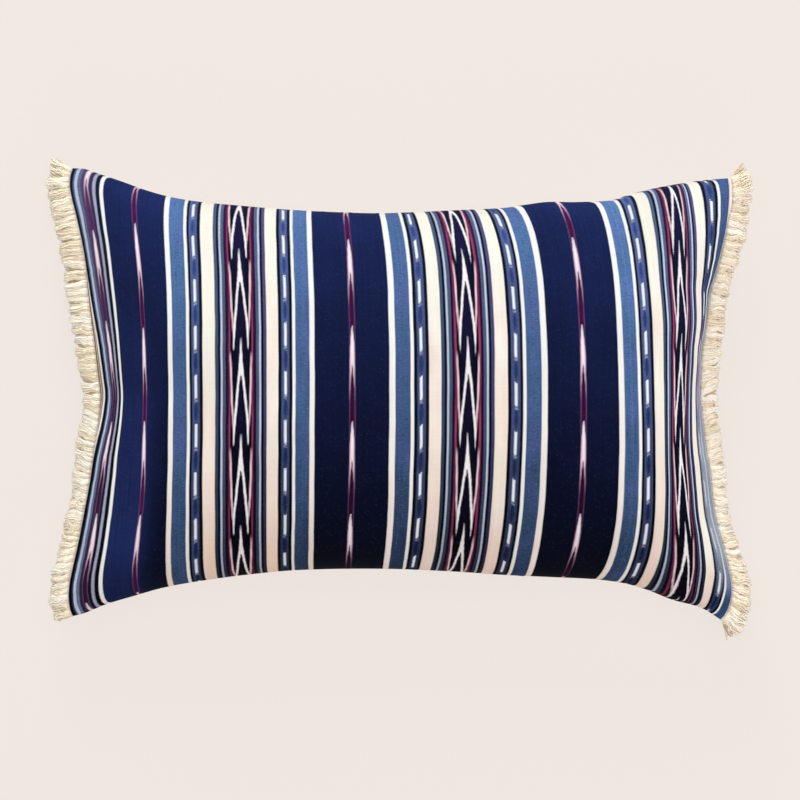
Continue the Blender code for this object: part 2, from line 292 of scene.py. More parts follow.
# Stripes of the small group at the left seam: distance from the seam, colour
SMALL_STRIPES = (
    # the first, brownish stripe is painted shadow along the left seam
    (0.0, "9a8478"), (1.4, WHITE), (3.4, BLACK), (6.5, "465064"), (8.4, "b6c2dc"),
    (10.7, "626a86"), (13.6, "3c3658"), (16.3, "40345a"), (21.9, "26223c"), (25.0, "a4a8c0"),
    (27.6, BLACK), (31.1, THIN_WHITE), (34.6, NAVY),
)

CLOTH_BRIGHTNESS = 0.84  # the cloth reflects a little less than its daylight colours
# Weave and ikat, in millimetres
WARP_PITCH = 0.55
WEFT_PITCH = 0.75
IKAT_PERIOD = 83.0
DASH_PERIOD = 42.4
STRIP_MIDDLE = 39.7  # of the dashed strip, from its group's middle
SMALL_LENS = 19.3  # place of the small group's lenses
# Levels of one tip of each repeat, for each stretch where they differ
CHEVRON_TIPS = (47.7, 47.7, 47.7, 47.7, 52.8, 52.8)
DASH_TIPS = (15.7, 17.4, 14.0, 7.9, 9.6, 11.0)
LENS_TIP = 57.5
SMALL_LENS_TIP = 64.0
# Chevron of a group, by distance below its tip: outer edge and inner edge of a leg
CHEVRON_OUTER = (
    (0, 0.4), (10, 0.8), (20, 1.4), (28, 2.1), (38, 3.2), (47, 4.1), (62, 5.5), (69, 6.4),
    (81, 7.0), (89, 6.9), (96, 6.3), (110, 6.0),
)
CHEVRON_INNER = (
    (0, -1.0), (28, -0.6), (32, 0.0), (35, 0.7), (42, 1.7), (50, 2.5), (62, 3.6), (69, 4.4),
    (81, 5.3), (89, 5.8), (96, 6.3), (110, 7.0),
)
# The pale line outside the chevron: distance below the tip, distance from the group's middle
INNER_LINE = ((0, 9.6), (16, 9.3), (30, 8.8), (56, 8.2), (69, 7.4), (83, 6.6), (110, 6.2))
INNER_LINE_SHOWS = (
    (0, 0.0), (12, 0.0), (18, 0.7), (28, 1.0), (60, 1.0), (74, 0.7), (83, 0.0), (110, 0.0),
)
CRIMSON_GLOW = ((0, 1.0), (12, 0.9), (24, 0.5), (52, 0.4), (68, 0.9), (83, 1.0), (110, 1.0))
# Lens in the middle of a dark band: distance below its tip, outer edge, inner edge, whiteness
LENS_OUTER = ((0, 0.6), (8, 1.2), (18, 1.9), (27, 2.0), (52, 2.5), (71, 2.6), (83, 2.7))
LENS_INNER = ((0, -1.0), (27, -0.4), (33, 0.1), (46, 1.2), (56, 1.8), (71, 2.0), (83, 2.0))
LENS_WHITE = (
    (0, 0.6), (8, 0.9), (18, 1.0), (34, 0.9), (46, 0.55), (56, 0.25), (65, 0.0), (83, 0.0),
)

# Camera and stage
CAMERA_DISTANCE = 2.0  # above the sewn edge
IMAGE_MIDDLE = (-0.9, -1.8)  # the tables' place in the middle of the picture
IMAGE_WIDTH = 720  # width of the picture at the level of the sewn edge
FLOOR_SIZE = 8.0
BACKGROUND = "f0e8e2"


def linear(colour):
    """A colour written as six hexadecimal digits, as Blender's own linear values."""
    values = np.array([int(colour[start:start + 2], 16) / 255 for start in (0, 2, 4)])
    high = ((values + 0.055) / 1.055) ** 2.4
    return (*np.where(values <= 0.04045, values / 12.92, high), 1.0)


def smooth_lookup(table, positions):
    """Read a table of positions and values along a smooth curve through its rows."""
    x, y = np.array(table, dtype=float).T
    count = len(x)
    before = np.maximum(np.arange(count) - 1, 0)
    after = np.minimum(np.arange(count) + 1, count - 1)
    slope = (y[after] - y[before]) / (x[after] - x[before])
    start = np.clip(np.searchsorted(x, positions, side="left") - 1, 0, count - 2)
    span = x[start + 1] - x[start]
    t = np.clip((positions - x[start]) / span, 0, 1)
    rise = y[start + 1] - y[start]
    pull_start = slope[start] * span - rise
    pull_end = rise - slope[start + 1] * span
    return y[start] + t * rise + t * (1 - t) * ((1 - t) * pull_start + t * pull_end)


def read_columns(table, position):
    """Each column of a table after its first, read along straight lines."""
    rows = np.array(table, dtype=float)
    return [np.interp(position, rows[:, 0], column) for column in rows.T[1:]]


def along_side(table, share):
    """Value of one side of the sewn edge by its share of that side."""
    first = table[0][0]
    last = table[-1][0]
    return smooth_lookup(table, first + (last - first) * share)


def section(from_middle, fullness):
    power, root = fullness
    return np.maximum(0, 1 - np.abs(from_middle) ** power) ** root


def bulge(s, t):
    """Share of the full crown at a spot of the pillow."""
    left = section(2 * s - 1, LEFT_FULLNESS)
    right = section(2 * s - 1, RIGHT_FULLNESS)
    return np.where(s < 0.5, left, right) * section(2 * t - 1, WIDTH_FULLNESS)


def seam_height(s, t):
    cornering = (np.abs(2 * s - 1) * np.abs(2 * t - 1)) ** 2
    return SEAM_HEIGHT + (CORNER_HEIGHT - SEAM_HEIGHT) * cornering


def filling_lumps(s, t):
    height = 0
    for along, across, shift, size in FILLING_LUMPS:
        wave = np.sin(math.tau * along * s + shift) * np.cos(math.tau * across * t - shift)
        height = height + size * wave
    return height


def fold_depth(x, y):
    """How far the soft folds press into the front at a place seen from above."""
    depth = 0
    for start_x, start_y, end_x, end_y, half_width, size in FRONT_FOLDS:
        run_x = end_x - start_x
        run_y = end_y - start_y
        along = ((x - start_x) * run_x + (y - start_y) * run_y) / (run_x ** 2 + run_y ** 2)
        along = np.clip(along, 0, 1)
        off_x = x - start_x - run_x * along
        off_y = y - start_y - run_y * along
        off_line = (off_x ** 2 + off_y ** 2) / half_width ** 2
        depth = depth + size * (1 - FOLD_FADE * along) * np.exp(-off_line)
    return depth


def front_height(s, t, x, y):
    crown = bulge(s, t)
    folding = np.minimum(1, crown / FOLD_START)
    relief = filling_lumps(s, t) * crown - fold_depth(x, y) * folding
    return seam_height(s, t) + FRONT_CROWN * crown + relief


def back_height(s, t):
    """The back hangs below its seam, and lies flat where it meets the surface."""
    free = seam_height(s, t) - BACK_CROWN * bulge(s, t)
    rounded = (free + CONTACT_ROUNDING) ** 2 / (4 * CONTACT_ROUNDING)
    return np.where(free >= CONTACT_ROUNDING, free, np.where(free <= -CONTACT_ROUNDING, 0, rounded))


def crowded_shares(count):
    """Shares from 0 to 1, closer together near both ends."""
    even = np.linspace(0, 1, count + 1)
    crowded = 0.5 - 0.5 * np.cos(math.pi * even)
    return even + (crowded - even) * EDGE_CROWDING


def seam_distance_by_row(t):
    """Cloth between the nearer long seam and each row, measured over the middle of the front."""
    fine = np.linspace(0, 1, 1201)
    half = 0.5 + 0 * fine
    x = along_side(LEFT_SEAM, fine) * 0.5 + along_side(RIGHT_SEAM, fine) * 0.5
    y = along_side(BOTTOM_SEAM, half) * (1 - fine) + along_side(TOP_SEAM, half) * fine
    z = front_height(half, fine, x, y)
    steps = np.hypot(np.hypot(np.diff(x), np.diff(y)), np.diff(z))
    lengths = np.concatenate(([0], np.cumsum(steps)))
    from_bottom = np.interp(t, fine, lengths)
    return from_bottom, lengths[-1] - from_bottom


def cloth_place(column_share, t):
    """Place in the flat cloth, across the warp. The left seam cuts deeper near its ends."""
    cut = smooth_lookup(LEFT_SEAM_CUT, t)
    return CLOTH_WIDTH * column_share + cut * (1 - column_share) ** 8


def warp_x(place, t):
    """Where a warp line of the cloth lies along the pillow, before the short seams pull on it."""
    bottom, middle, top = read_columns(WARP_LINES, place)
    top_reach, top_power, bottom_reach, bottom_power = read_columns(WARP_BENDS, place)
    top_swing, bottom_swing = read_columns(END_SWINGS, place)
    from_bottom, from_top = seam_distance_by_row(t)
    at_top = np.exp(-(from_top / top_reach) ** top_power)
    at_bottom = np.exp(-(from_bottom / bottom_reach) ** bottom_power)
    bent = middle + (top - middle) * at_top + (bottom - middle) * at_bottom
    swing = top_swing * np.exp(-from_top / TOP_SWING_REACH)
    swing = swing + bottom_swing * np.exp(-from_bottom / BOTTOM_SWING_REACH)
    level = (from_bottom - from_top) / 2
    early = smooth_lookup(EARLY_SWAY, level) * read_columns(EARLY_PLACES, place)[0]
    late = smooth_lookup(LATE_SWAY, level) * read_columns(LATE_PLACES, place)[0]
    return bent + swing + early + late


def cloth_grid():
    """Shares and places of a panel's points, one column of points for each warp line."""
    column_share, t = np.meshgrid(np.linspace(0, 1, COLUMNS + 1), crowded_shares(ROWS))
    place = cloth_place(column_share, t)
    x = warp_x(place, t)
    left = along_side(LEFT_SEAM, t)
    right = along_side(RIGHT_SEAM, t)
    near_left = np.exp(-(CLOTH_WIDTH * column_share / LEFT_SEAM_PULL) ** 2)
    near_right = np.exp(-(CLOTH_WIDTH * (1 - column_share) / RIGHT_SEAM_PULL) ** 2)
    x = x + (left - x[:, :1]) * near_left + (right - x[:, -1:]) * near_right
    s = np.clip((x - left) / (right - left), 0, 1)
    y = along_side(BOTTOM_SEAM, s) * (1 - t) + along_side(TOP_SEAM, s) * t
    return s, t, place, x, y


def table_shift():
    """From the tables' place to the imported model's, in millimetres."""
    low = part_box("cushion")[0]
    return np.array((low[0] / MM - LOWEST_TABLE_CORNER[0], low[1] / MM - LOWEST_TABLE_CORNER[1], 0))


def surface_normals(points):
    normals = np.cross(np.gradient(points, axis=1), np.gradient(points, axis=0))
    return normals / np.maximum(np.linalg.norm(normals, axis=-1, keepdims=True), 1e-9)


def ripple(positions, wavelengths, rng):
    """An uneven wave along a line, about one high."""
    total = 0
    for wavelength in wavelengths:
        shift = rng.uniform(0, math.tau)
        drift = rng.uniform(0, math.tau)
        phase = positions / wavelength * math.tau + shift
        total = total + np.sin(phase + 1.4 * np.sin(phase * 0.23 + drift))
    return total / len(wavelengths)


def seam_puckers(x, y, seams, seed):
    """Small gathers where the stitching draws the cloth in, fading away from each seam. The
    distances from the seams are given for the left, right, bottom and top one."""
    rng = random.Random(seed)
    relief = 0
    gathers = ((y, 0.25, 10), (y, 0.25, 10), (x, 0.7, 14), (x, 0.7, 14))
    for distance, (positions, height, fade) in zip(seams, gathers):
        near = (distance / 5) * np.exp(-(distance / fade)) * 1.1
        relief = relief + height * ripple(positions, (23, 14.5, 9.5), rng) * np.minimum(near, 1)
    return relief


def cloth_unevenness(x, y, seed):
    """Broad, shallow waves of slack cloth."""
    rng = random.Random(seed)
    relief = 0
    for _ in range(26):
        wavelength = rng.uniform(38, 120)
        direction = rng.uniform(0, math.pi)
        shift = rng.uniform(0, math.tau)
        along = x * math.cos(direction) + y * math.sin(direction)
        relief = relief + wavelength / 120 * np.sin(along / wavelength * math.tau + shift)
    return relief * 0.13


def panel_points(front):
    """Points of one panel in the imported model's frame, and their places in the flat cloth."""
    s, t, place, x, y = cloth_grid()
    z = front_height(s, t, x, y) if front else back_height(s, t)
    outward = 1 if front else -1
    seed = FRONT_SEED if front else BACK_SEED
    on_edge = np.ones(s.shape, dtype=bool)
    on_edge[1:-1, 1:-1] = False
    z = np.where(on_edge, seam_height(s, t) + outward * SEAM_THICKNESS / 2, z)
    points = np.stack((x, y, z), axis=-1)
    up_steps = np.linalg.norm(np.diff(points, axis=0), axis=-1)
    length = np.concatenate((np.zeros((1, s.shape[1])), np.cumsum(up_steps, axis=0)))
    seams = (place, CLOTH_WIDTH - place, length, length[-1] - length)
    free = np.clip(np.minimum.reduce(seams) / 30, 0, 1)
    relief = seam_puckers(x, y, seams, seed) + cloth_unevenness(x, y, seed) * free
    if not front:
        relief = relief * np.clip(z / 12, 0, 1)
    relief = np.where(on_edge, 0, relief)[..., None]
    points = points + table_shift() + outward * surface_normals(points) * relief
    points[..., 2] = np.maximum(points[..., 2], 0)
    return points * MM, np.stack((place, length - length[ROWS // 2]), axis=-1) * MM


def grid_numbers(first):
    """Numbers of a panel's points by row and column, from the number of its first point."""
    return first + np.arange((ROWS + 1) * (COLUMNS + 1)).reshape(ROWS + 1, COLUMNS + 1)


def grid_rim(numbers):
    """Numbers of the points round a panel's edge, in order."""
    sides = (numbers[0], numbers[1:, -1], numbers[-1, -2::-1], numbers[-2:0:-1, 0])
    return np.concatenate(sides)


def grid_faces(numbers):
    corners = (numbers[:-1, :-1], numbers[:-1, 1:], numbers[1:, 1:], numbers[1:, :-1])
    return np.stack(corners, axis=-1).reshape(-1, 4)


def make_mesh(name, points, faces, uv, uv_name, materials, face_materials=None):
    """A smooth mesh object whose UV map gives each point its place in the cloth or yarn."""
    mesh = bpy.data.meshes.new(name)
    mesh.from_pydata(points.tolist(), [], faces)
    mesh.update()
    layer = mesh.uv_layers.new(name=uv_name)
    corners = np.empty(len(mesh.loops), dtype=np.int32)
    mesh.loops.foreach_get("vertex_index", corners)
    layer.data.foreach_set("uv", np.asarray(uv, dtype=np.float32)[corners].ravel())
    for material in materials:
        mesh.materials.append(material)
    if face_materials is not None:
        mesh.polygons.foreach_set("material_index", face_materials)
    mesh.shade_smooth()
    piece = bpy.data.objects.new(name, mesh)
    bpy.context.scene.collection.objects.link(piece)
    return piece


def add_pillow():
    """The cover over its filling: striped front, plain back and the seam between them."""
    front_points, front_uv = panel_points(True)
    back_points, back_uv = panel_points(False)
    points = np.concatenate((front_points, back_points)).reshape(-1, 3)
    uv = np.concatenate((front_uv, back_uv)).reshape(-1, 2)
    front = grid_numbers(0)
    back = grid_numbers(front.size)
    upper = grid_rim(front)
    lower = grid_rim(back)
    wall = np.stack((np.roll(upper, -1), upper, lower, np.roll(lower, -1)), axis=-1)
    faces = np.concatenate((grid_faces(front), grid_faces(back)[:, ::-1], wall))
    kinds = [0] * (ROWS * COLUMNS) + [1] * (ROWS * COLUMNS) + [0] * len(wall)
    materials = [striped_cloth(), plain_cloth()]
    piece = make_mesh("pillow_cover", points, faces.tolist(), uv, "cloth", materials, kinds)
    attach(piece, "root")
    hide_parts("cushion")


def seam_stations(side_table, outward, spots):
    """Points, directions along and out of a short seam, and levels, by share of its length."""
    fine = np.linspace(0, 1, 801)
    across = side_table[0][0] + (side_table[-1][0] - side_table[0][0]) * fine
    x = along_side(side_table, fine)
    length = np.concatenate(([0], np.cumsum(np.hypot(np.diff(x), np.diff(across)))))
    share = np.interp(spots, length / length[-1], fine)
    slope_x = np.gradient(x)
    slope_y = np.gradient(across)
    size = np.hypot(slope_x, slope_y)
    readings = (x, across, slope_x / size, slope_y / size)
    px, py, tx, ty = [np.interp(share, fine, reading) for reading in readings]
    level = seam_height(np.full(len(px), 0.0 if outward < 0 else 1.0), share)
    return px, py, tx, ty, ty * outward, -tx * outward, level


def strand_path(seam, strand, rng):
    """Points of one strand, from its root in the heading to its cut tip."""
    root, along, out, level = np.split(seam, (2, 4, 6))
    steps = np.linspace(0, 1, STRAND_RINGS)
    length = FRINGE_LENGTH * rng.uniform(0.94, 1.0)
    flat = min(strand["reach"], 0.97 * length)
    droop = math.sqrt(length * length - flat * flat) * rng.uniform(0.8, 1.0)
    cos = math.cos(strand["lean"])
    sin = math.sin(strand["lean"])
    combed = out * cos + along * sin
    side = along * cos - out * sin
    # The strand leaves its heading square to the seam and bends into its combed direction
    turn = np.minimum(1, steps * 3.0)
    start = TRIM_GAP + 0.15 + strand["start"]
    run = start + (flat - start) * steps
    loose = np.minimum(1, steps * 5)
    phase = rng.uniform(0, math.tau)
    own = rng.uniform(0.08, 0.22)
    waves = rng.uniform(3.0, 4.5)
    shared = strand["crimp"] * np.sin(math.tau * strand["waves"] * steps + strand["phase"])
    aside = shared + own * np.sin(math.tau * waves * steps + phase)
    aside = aside * loose + strand["bend"] * steps ** 2 + strand["spread"] * steps
    lift = own * np.cos(math.tau * waves * steps + phase * 1.7) * loose
    rise = strand["height"] * np.minimum(1, 0.35 + steps * 2.5)
    z = level + 0.4 + rise + lift - droop * steps ** 2
    ahead = np.outer(run, out) + np.outer(run * turn, combed - out)
    return np.column_stack((root + ahead + np.outer(aside, side), z))


def strand_rings(path, width):
    """Points of the rings round a strand's path, with the flat side up."""
    ahead = np.gradient(path, axis=0)
    ahead = ahead / np.linalg.norm(ahead, axis=1, keepdims=True)
    up = np.array((0.0, 0.0, 1.0))
    side = np.cross(ahead, up)
    side = side / np.linalg.norm(side, axis=1, keepdims=True)
    top = np.cross(side, ahead)
    steps = np.linspace(0, 1, len(path))
    taper = width / 2 * (1 - 0.3 * np.clip((steps - 0.85) / 0.15, 0, 1))
    rings = []
    for corner in range(STRAND_SIDES):
        angle = math.tau * (corner / STRAND_SIDES + 1 / 12)
        offset = side * math.cos(angle) + top * math.sin(angle) * STRAND_FLATNESS
        rings.append(path + offset * taper[:, None])
    return np.stack(rings, axis=1).reshape(-1, 3)


def tube_faces(first, rings, sides):
    """Faces round a closed tube and over its ends. Its points are numbered ring by ring."""
    faces = [tuple(first + side for side in reversed(range(sides)))]
    for base in range(first, first + (rings - 1) * sides, sides):
        for side in range(sides):
            after = (side + 1) % sides
            faces.append((base + side, base + after, base + sides + after, base + sides + side))
    last = first + (rings - 1) * sides
    faces.append(tuple(last + side for side in range(sides)))
    return faces


def clump_strands(side_length, warm_stretches, rng):
    """The strands of all clumps: spot on the seam and place in the clump's arched bundle."""
    widths = [rng.uniform(0.65, 1.35) for _ in range(CLUMPS_A_SIDE)]
    whole = sum(widths)
    strands = []
    filled = 0.0
    for width in widths:
        middle = (filled + width / 2) / whole
        half = width / whole / 2 * CLUMP_OVERLAP
        filled += width
        count = round(STRANDS_A_CLUMP * width * CLUMPS_A_SIDE / whole)
        lean = rng.gauss(0, 7)
        reach = rng.uniform(0.93, 1.02)
        height = rng.uniform(-0.5, 0.5)
        shared = {"crimp": rng.uniform(0.35, 0.95), "waves": rng.uniform(1.0, 2.0)}
        phase = rng.uniform(0, math.tau)
        bend = rng.uniform(-1.6, 1.6)
        tint = rng.random()
        in_warm = any(low <= middle <= high for low, high in warm_stretches)
        for index in range(count):
            across = (index + rng.random()) / count * 2 - 1
            arch = CLUMP_ARCH * (1 - across ** 2) * rng.uniform(0.35, 1.0)
            warm = in_warm and rng.random() < WARM_SHARE
            strands.append({
                **shared,
                "spot": min(max(middle + half * across * 0.9, 0.0), 1.0),
                "lean": lean + rng.gauss(0, 2.5),
                "reach": reach * (1 - 0.06 * across ** 2) * rng.uniform(0.95, 1.02),
                "height": height + arch,
                "phase": phase + rng.gauss(0, 0.25),
                "bend": bend + rng.gauss(0, 0.4),
                "spread": across * half * side_length * 0.1,
                "tint": 0.3 + 0.5 * tint + 0.19 * rng.random() + 2.0 * warm,
            })
    return strands


def under_strands(rng):
    """The strands of the lower layer, tinted tan as painted shade in the cracks between the clumps.
    """
    strands = []
    for index in range(UNDER_STRANDS):
        strands.append({
            "spot": (index + rng.random()) / UNDER_STRANDS,
            "lean": rng.gauss(0, 7),
            "reach": rng.uniform(0.82, 0.93),
            "height": -UNDER_DROP + rng.uniform(-0.5, 0.5),
            "crimp": rng.uniform(0.1, 0.4),
            "waves": rng.uniform(1.0, 2.5),
            "phase": rng.uniform(0, math.tau),
            "bend": rng.gauss(0, 0.8),
            "spread": 0.0,
            # a low tint makes the lower layer tan, as painted shade in the cracks
            "tint": 0.2 * rng.random(),
        })
    return strands


def heading_points(stations, shown):
    """Points round the narrow woven strip that holds the strands' roots, four at each station."""
    px, py, _, _, ox, oy, level = stations
    near = TRIM_GAP + 0.1
    far = TRIM_GAP + HEADING_WIDTH + shown
    half = HEADING_THICKNESS / 2
    rows = []
    for out, rise in ((far, -half), (far, half), (near, half), (near, -half)):
        rows.append(np.stack((px + ox * out, py + oy * out, level + rise), axis=-1))
    return np.stack(rows, axis=1).reshape(-1, 3)


def add_fringe(name, node, side_table, outward, tables, heading_tint, seed, material):
    """A length of brush fringe: clumps of fine crimped strands on a narrow heading."""
    reach_table, lean_table, shown_table, warm_stretches = tables
    rng = random.Random(seed)
    side_length = side_table[-1][0] - side_table[0][0]
    strands = clump_strands(side_length, warm_stretches, rng) + under_strands(rng)
    spots = np.array([strand["spot"] for strand in strands])
    stations = np.stack(seam_stations(side_table, outward, spots), axis=-1)
    reaches = smooth_lookup(reach_table, spots)
    leans = smooth_lookup(lean_table, spots)
    shown = read_columns(shown_table, spots)[0]
    points = []
    faces = []
    uv = []
    filled = 0
    for index, strand in enumerate(strands):
        strand["reach"] *= reaches[index]
        strand["lean"] = math.radians(strand["lean"] + leans[index])
        strand["start"] = shown[index]
        path = strand_path(stations[index], strand, rng)
        rings = strand_rings(path, STRAND_WIDTH * rng.uniform(0.8, 1.15))
        points.append(rings)
        faces.extend(tube_faces(filled, STRAND_RINGS, STRAND_SIDES))
        along = np.repeat(np.linspace(0, 1, STRAND_RINGS), STRAND_SIDES)
        uv.append(np.stack((along, np.full(len(along), strand["tint"])), axis=-1))
        filled += len(rings)
    strip_spots = np.linspace(0, 1, HEADING_STATIONS)
    strip = seam_stations(side_table, outward, strip_spots)
    strip_points = heading_points(strip, read_columns(shown_table, strip_spots)[0])
    points.append(strip_points)
    faces.extend(tube_faces(filled, HEADING_STATIONS, 4))
    uv.append(np.full((len(strip_points), 2), (-1.0, heading_tint)))
    all_points = (np.concatenate(points) + table_shift()) * MM
    piece = make_mesh(name, all_points, faces, np.concatenate(uv), "yarn", [material])
    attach(piece, "root")
    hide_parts(node)


def feed(socket, value):
    """Link a value to a node's socket, or set the socket to a plain number or colour."""
    if isinstance(value, Value):
        socket.id_data.links.new(value.socket, socket)
    else:
        socket.default_value = value


class Value:
    """A number or colour that a material works out at each spot. Arithmetic on it makes nodes."""

    def __init__(self, socket):
        self.socket = socket

    def node(self, kind):
        return self.socket.id_data.nodes.new("ShaderNode" + kind)

    def math(self, operation, *others, clamp=False):
        node = self.node("Math")
        node.operation = operation
        node.use_clamp = clamp
        for socket, value in zip(node.inputs, (self, *others)):
            feed(socket, value)
        return Value(node.outputs[0])

    def __add__(self, other):
        return self.math("ADD", other)

    def __sub__(self, other):
        return self.math("SUBTRACT", other)

    def __rsub__(self, other):
        return self.math("MULTIPLY_ADD", -1, other)

    def __mul__(self, other):
        return self.math("MULTIPLY", other)

    def __gt__(self, other):
        return self.math("GREATER_THAN", other)

    def __lt__(self, other):
        return self.math("LESS_THAN", other)

    def ramp(self, slope, start):
        """The value times a slope, plus a start, held between 0 and 1."""
        return self.math("MULTIPLY_ADD", slope, start, clamp=True)

    def above(self, edge, soft=0.3):
        """0 below the edge and 1 above it, over a soft step."""
        return (self - edge).ramp(1 / soft, 0.5)

    def below(self, edge, soft=0.3):
        return (edge - self).ramp(1 / soft, 0.5)

    def between(self, low, high):
        return (self > low) * (self < high)

    def distance(self, *places):
        """Distance to the nearest of some places."""
        nearest = (self - places[0]).math("ABSOLUTE")
        for place in places[1:]:
            nearest = nearest.math("MINIMUM", (self - place).math("ABSOLUTE"))
        return nearest

    def curve(self, table, low=-2.0, high=10.0):
        """Read a table of positions and values along straight lines."""
        node = self.node("FloatCurve")
        last = table[-1][0]
        curve = node.mapping.curves[0]
        while len(curve.points) < len(table):
            curve.points.new(0.5, 0.5)
        for point, (position, reading) in zip(curve.points, table):
            point.location = (position / last, (reading - low) / (high - low))
            point.handle_type = "VECTOR"
        node.mapping.update()
        feed(node.inputs["Value"], self * (1 / last))
        return Value(node.outputs[0]) * (high - low) + low

    def stripes(self, table, span):
        """Colours that start at the places a table gives."""
        node = self.node("ValToRGB")
        ramp = node.color_ramp
        ramp.interpolation = "CONSTANT"
        while len(ramp.elements) < len(table):
            ramp.elements.new(1.0)
        for element, (place, colour) in zip(ramp.elements, table):
            element.position = place / span
            element.color = linear(colour)
        feed(node.inputs[0], self * (1 / span))
        return Value(node.outputs[0])

    def red_and_blue(self):
        node = self.node("SeparateColor")
        feed(node.inputs[0], self)
        return Value(node.outputs[0]), Value(node.outputs[2])


def mix(factor, a, b, blend="MIX"):
    """The second colour over the first, by a factor."""
    node = factor.node("Mix")
    node.data_type = "RGBA"
    node.blend_type = blend
    feed(node.inputs[0], factor)
    for socket, colour in ((node.inputs[6], a), (node.inputs[7], b)):
        feed(socket, linear(colour) if isinstance(colour, str) else colour)
    return Value(node.outputs[2])


def texture(kind, x, y, z):
    """A texture node that is read at a place given by three values."""
    place = x.node("CombineXYZ")
    for socket, value in zip(place.inputs, (x, y, z)):
        feed(socket, value)
    node = x.node(kind)
    feed(node.inputs["Vector"], Value(place.outputs[0]))
    return node


def noise(x, y, z=0.0, detail=2.0):
    """Soft noise with patches about one unit wide."""
    node = texture("TexNoise", x, y, z)
    node.inputs["Scale"].default_value = 1.0
    node.inputs["Detail"].default_value = detail
    return Value(node.outputs[0])


def chance(x, y=0.0, z=0.0):
    """A random value from 0 to 1 for each set of whole numbers."""
    return Value(texture("TexWhiteNoise", x, y, z).outputs[0])


class Look:
    """A new material and its shader."""

    def __init__(self, name):
        self.material = bpy.data.materials.new(name)
        self.material.use_nodes = True
        self.nodes = self.material.node_tree.nodes
        self.inputs = self.nodes["Principled BSDF"].inputs

    def map(self, name, scale=1.0):
        """Both coordinates of a UV map."""
        node = self.nodes.new("ShaderNodeUVMap")
        node.uv_map = name
        parts = self.nodes.new("ShaderNodeSeparateXYZ")
        feed(parts.inputs[0], Value(node.outputs[0]))
        return Value(parts.outputs[0]) * scale, Value(parts.outputs[1]) * scale

    def bump(self, height, distance, strength):
        node = self.nodes.new("ShaderNodeBump")
        node.inputs["Strength"].default_value = strength
        node.inputs["Distance"].default_value = distance
        feed(node.inputs["Height"], height)
        feed(self.inputs["Normal"], Value(node.outputs[0]))

    def finish(self, colour, roughness, sheen, specular=0.25):
        feed(self.inputs["Base Color"], colour)
        self.inputs["Roughness"].default_value = roughness
        self.inputs["Sheen Weight"].default_value = sheen
        self.inputs["Specular IOR Level"].default_value = specular
        return self.material


def plain_weave(x, y):
    """The warp thread on top at each spot: its number, its middle, the weft row, and its height."""
    rows = y * (1 / WEFT_PITCH)
    row = rows.math("FLOOR")
    odd = (row * 0.5).math("FRACT") * 2
    cell = (x * (1 / WARP_PITCH) + 0.5 - odd) * 0.5
    thread = cell.math("FLOOR") * 2 + odd
    middle = (thread + 0.5) * WARP_PITCH
    across = (cell.math("FRACT") * math.pi).math("SINE")
    up = (rows.math("FRACT") * math.pi).math("SINE")
    return thread, middle, row, (across * up).math("POWER", 0.6)


def by_stretch(place, values, edges=STRETCH_EDGES):
    """One value for each stretch of cloth between some places."""
    value = values[0]
    for edge, before, after in zip(edges, values, values[1:]):
        value = (place > edge) * (after - before) + value
    return value


def below_tip(y, tip, period):
    """How far a spot lies below the last tip of a repeat up the warp."""
    return ((tip - y) * (1 / period)).math("FRACT") * period


def purple_slates(colour, from_middle, place):
    """The slate stripe to the right of each group's middle is purpler than the left one, and the
    last group's crimson there is dull."""
    right = by_stretch(place, (0, 1, 0, 1, 0, 1))
    colour = mix(right * from_middle.between(19.8, 22.5), colour, SLATE_PURPLE)
    in_crimson = from_middle.above(9.2, 0.2) * from_middle.below(10.7, 0.2)
    return mix((place > GROUP_CENTRES[2]) * in_crimson * 0.7, colour, DULL_CRIMSON)


def chevrons(colour, from_middle, place, y):
    """Tall pointed chevrons in the middle of each group, and the pale line that meets them."""
    below = below_tip(y, by_stretch(place, CHEVRON_TIPS), IKAT_PERIOD)
    in_crimson = from_middle.above(8.5, 0.2) * from_middle.below(11.5, 0.2)
    colour = mix(in_crimson * below.curve(CRIMSON_GLOW).ramp(-0.8, 0.85), colour, MAROON)
    colour = mix(from_middle.below(4.0, 3.0) * 0.4, colour, CHEVRON_CORE)
    line = (from_middle - below.curve(INNER_LINE)).math("ABSOLUTE")
    colour = mix(line.below(0.75) * below.curve(INNER_LINE_SHOWS), colour, PINK_WHITE)
    for distance in (below, below + IKAT_PERIOD):
        outer = from_middle.below(distance.curve(CHEVRON_OUTER))
        inner = from_middle.above(distance.curve(CHEVRON_INNER))
        colour = mix(outer * inner * distance.ramp(1 / 14, 0.35), colour, IKAT_WHITE)
    return colour


def lenses(colour, from_middle, y, tip, dark):
    """Slim ikat lenses, pale at the head and open into purple legs below."""
    below = below_tip(y, tip, IKAT_PERIOD)
    outer = from_middle.below(below.curve(LENS_OUTER))
    inner = from_middle.above(below.curve(LENS_INNER))
    colour = mix(from_middle.below(2.5) * below.above(34.0, 24.0) * 0.8, colour, dark)
    colour = mix(from_middle.above(1.9) * from_middle.below(2.8) * 0.8, colour, PURPLE)
    pale = mix(from_middle.below(1.2, 1.2), LENS_PINK, IKAT_WHITE)
    return mix(outer * inner, colour, mix(below.curve(LENS_WHITE), PURPLE, pale))


